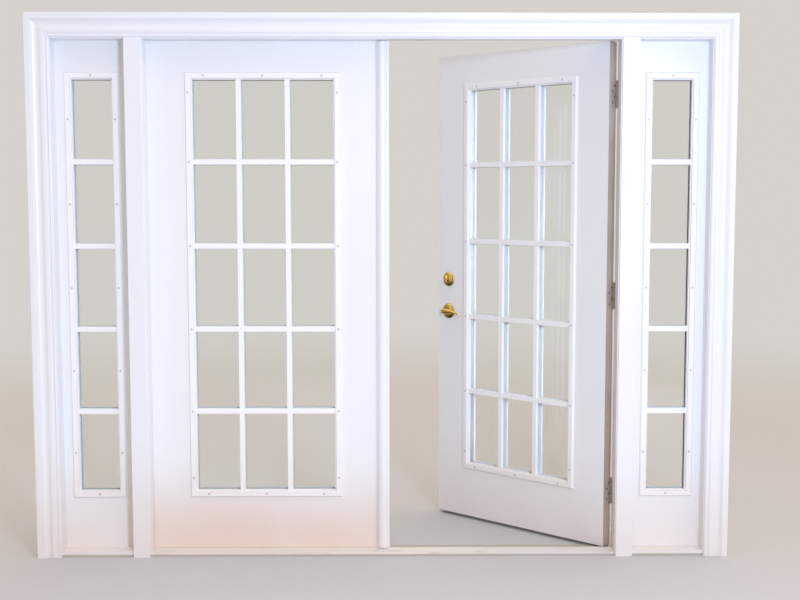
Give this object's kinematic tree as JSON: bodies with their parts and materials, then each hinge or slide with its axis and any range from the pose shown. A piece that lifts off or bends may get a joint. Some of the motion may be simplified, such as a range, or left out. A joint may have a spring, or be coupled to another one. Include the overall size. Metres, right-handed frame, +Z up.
{
  "type": "french doors",
  "caption": "Double french doors with divided lites, a hinged active and a passive leaf, a fixed sidelite each side, threshold, frame and mitred room-side casing.",
  "frame": {"origin": "middle of the unit's width, on the room face of the frame, at the bottom of the sill", "axes": "+X along the width to the active leaf's side, +Y from the room to the outside, +Z up"},
  "size_m": [2.722, 0.7782, 2.114],
  "materials": {
    "painted_trim": "satin white paint on pine",
    "sill_composite": "moulded composite",
    "threshold_metal": "mill-finished extrusion",
    "seal_vinyl": "matt",
    "hinge_steel": "dull plated steel, dirty",
    "rusty_screw": "rusted",
    "bolt_steel": "plated",
    "polished_brass": "polished and lacquered",
    "painted_slab": "satin white paint",
    "lite_frame_plastic": "moulded, painted white",
    "glass": "clear sealed double pane",
    "plug_plastic": "moulded"
  },
  "bodies": {
    "frame": {"sill": "sill_composite", "head_jamb": "painted_trim", "mull_post_left": "painted_trim", "mull_post_right": "painted_trim", "side_jamb_left": "painted_trim", "side_jamb_right": "painted_trim", "mull_cover_left": "painted_trim", "mull_cover_right": "painted_trim", "casing_left": "painted_trim", "casing_right": "painted_trim", "casing_head": "painted_trim", "threshold_bumper": "threshold_metal", "threshold_seal": "seal_vinyl", "sidelite_sill_stops": "painted_trim", "weatherstrip": "seal_vinyl", "hinge_plates_jamb_left": "hinge_steel", "hinge_plates_jamb_right": "hinge_steel", "hinge_screws_jamb": "rusty_screw", "hinge_pins": "hinge_steel", "sidelite_slab_left": "painted_slab", "sidelite_lite_frame_room_left": "lite_frame_plastic", "sidelite_lite_frame_outside_left": "lite_frame_plastic", "sidelite_glass_left": "glass", "sidelite_screw_plugs_left": "plug_plastic", "sidelite_slab_right": "painted_slab", "sidelite_lite_frame_room_right": "lite_frame_plastic", "sidelite_lite_frame_outside_right": "lite_frame_plastic", "sidelite_glass_right": "glass", "sidelite_screw_plugs_right": "plug_plastic"},
    "leaf_left": {"leaf_slab_left": "painted_slab", "leaf_lite_frame_room_left": "lite_frame_plastic", "leaf_lite_frame_outside_left": "lite_frame_plastic", "leaf_glass_left": "glass", "leaf_screw_plugs_left": "plug_plastic", "leaf_sweep_left": "seal_vinyl", "hinge_plates_leaf_left": "hinge_steel", "hinge_screws_leaf_left": "rusty_screw", "astragal": "painted_trim", "astragal_seal": "seal_vinyl", "strike_plates": "bolt_steel"},
    "leaf_right": {"leaf_slab_right": "painted_slab", "leaf_lite_frame_room_right": "lite_frame_plastic", "leaf_lite_frame_outside_right": "lite_frame_plastic", "leaf_glass_right": "glass", "leaf_screw_plugs_right": "plug_plastic", "leaf_sweep_right": "seal_vinyl", "hinge_plates_leaf_right": "hinge_steel", "hinge_screws_leaf_right": "rusty_screw", "lever_rose_inside": "polished_brass", "lever_rose_outside": "polished_brass", "bolt_cases": "bolt_steel", "deadbolt_rose": "polished_brass", "key_cylinder": "polished_brass"},
    "flush_bolt_top": {"flush_bolt_top": "bolt_steel"},
    "flush_bolt_bottom": {"flush_bolt_bottom": "bolt_steel"},
    "lever_inside": {"lever_inside": "polished_brass"},
    "lever_outside": {"lever_outside": "polished_brass"},
    "latch_bolt": {"latch_bolt": "bolt_steel"},
    "thumb_turn": {"thumb_turn": "polished_brass"},
    "deadbolt": {"deadbolt": "bolt_steel"}
  },
  "joints": [
    {"name": "active_leaf_hinge", "type": "hinge", "parent": "frame", "child": "leaf_right", "pos_m": [0.9205, 0.1215, 1.025], "axis": [0, 0, -1], "range_deg": [-45, 115]},
    {"name": "passive_leaf_hinge", "type": "hinge", "parent": "frame", "child": "leaf_left", "pos_m": [-0.9205, 0.1215, 1.025], "axis": [0, 0, 1], "range_deg": [0, 160]},
    {"name": "lever_turn", "type": "hinge", "parent": "leaf_right", "child": "lever_inside", "pos_m": [0.3004, 0.70235, 0.916], "axis": [0.7071, 0.7071, 0], "range_deg": [0, 45], "stiffness_Nm_per_rad": 1.5, "springref_deg": -22.92},
    {"name": "outside_lever_turn", "type": "hinge", "parent": "leaf_right", "child": "lever_outside", "pos_m": [0.3004, 0.70235, 0.916], "axis": [0.7071, 0.7071, 0], "range_deg": [0, 45], "stiffness_Nm_per_rad": 1.5, "springref_deg": -22.92},
    {"name": "latch_slide", "type": "slide", "parent": "leaf_right", "child": "latch_bolt", "axis": [0.7071, -0.7071, 0], "range_m": [0, 0.0115]},
    {"name": "thumb_turn_turn", "type": "hinge", "parent": "leaf_right", "child": "thumb_turn", "pos_m": [0.3004, 0.70235, 1.056], "axis": [0.7071, 0.7071, 0], "range_deg": [0, 90]},
    {"name": "deadbolt_slide", "type": "slide", "parent": "leaf_right", "child": "deadbolt", "axis": [-0.7071, 0.7071, 0], "range_m": [0, 0.0254]},
    {"name": "flush_bolt_top_slide", "type": "slide", "parent": "leaf_left", "child": "flush_bolt_top", "axis": [0, 0, 1], "range_m": [0, 0.019]},
    {"name": "flush_bolt_bottom_slide", "type": "slide", "parent": "leaf_left", "child": "flush_bolt_bottom", "axis": [0, 0, -1], "range_m": [0, 0.012]}
  ],
  "couplings": [
    {"joint": "outside_lever_turn", "follows": "lever_turn", "ratio": 1},
    {"joint": "latch_slide", "follows": "lever_turn", "m_per_rad": 0.014515},
    {"joint": "deadbolt_slide", "follows": "thumb_turn_turn", "m_per_rad": 0.016138}
  ]
}
